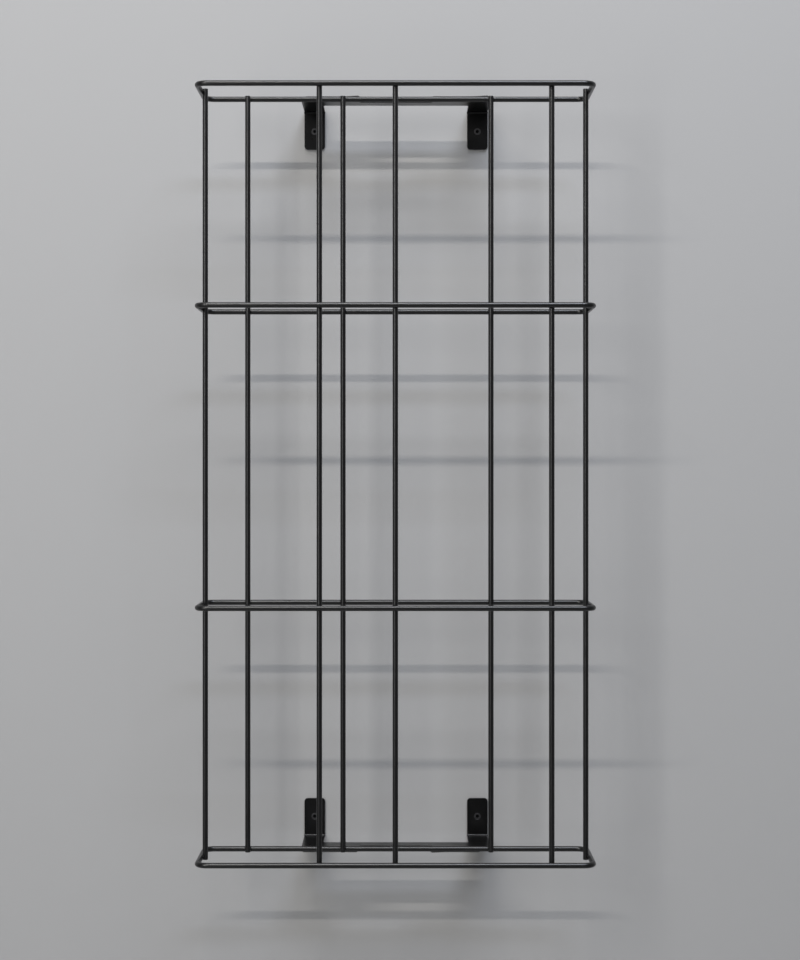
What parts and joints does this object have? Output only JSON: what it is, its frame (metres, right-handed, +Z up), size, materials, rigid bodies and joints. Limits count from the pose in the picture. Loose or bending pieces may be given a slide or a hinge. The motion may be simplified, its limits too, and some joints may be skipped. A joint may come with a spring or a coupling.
{
  "type": "wire wall bookshelf",
  "caption": "Tall wall-hung bookshelf of black welded wire: rounded rings joined by straight uprights, held off the wall by two folded sheet brackets with screw tabs.",
  "frame": {"origin": "on the wall plane, at the centre of the four wall screws", "axes": "+X to the right seen from the room, +Y into the wall, +Z up"},
  "size_m": [0.455, 0.2202, 0.8942],
  "materials": {
    "coated_wire": "satin black powder coat on drawn steel wire",
    "coated_sheet": "satin black powder coat on cut and folded steel sheet",
    "coated_weld": "satin black powder coat over a rippled weld bead",
    "black_screw_steel": "black phosphated steel screw"
  },
  "bodies": {
    "root": {"top_ring": "coated_wire", "upper_ring": "coated_wire", "lower_ring": "coated_wire", "bottom_ring": "coated_wire", "left_side_upright": "coated_wire", "back_left_upright": "coated_wire", "front_left_upright": "coated_wire", "back_centre_upright": "coated_wire", "front_centre_upright": "coated_wire", "back_right_upright": "coated_wire", "front_right_upright": "coated_wire", "right_side_upright": "coated_wire", "top_wall_bracket": "coated_sheet", "bottom_wall_bracket": "coated_sheet", "top_left_weld_bead": "coated_weld", "top_right_weld_bead": "coated_weld", "bottom_left_weld_bead": "coated_weld", "bottom_right_weld_bead": "coated_weld", "left_wall_screws": "black_screw_steel", "right_wall_screws": "black_screw_steel"}
  },
  "joints": []
}
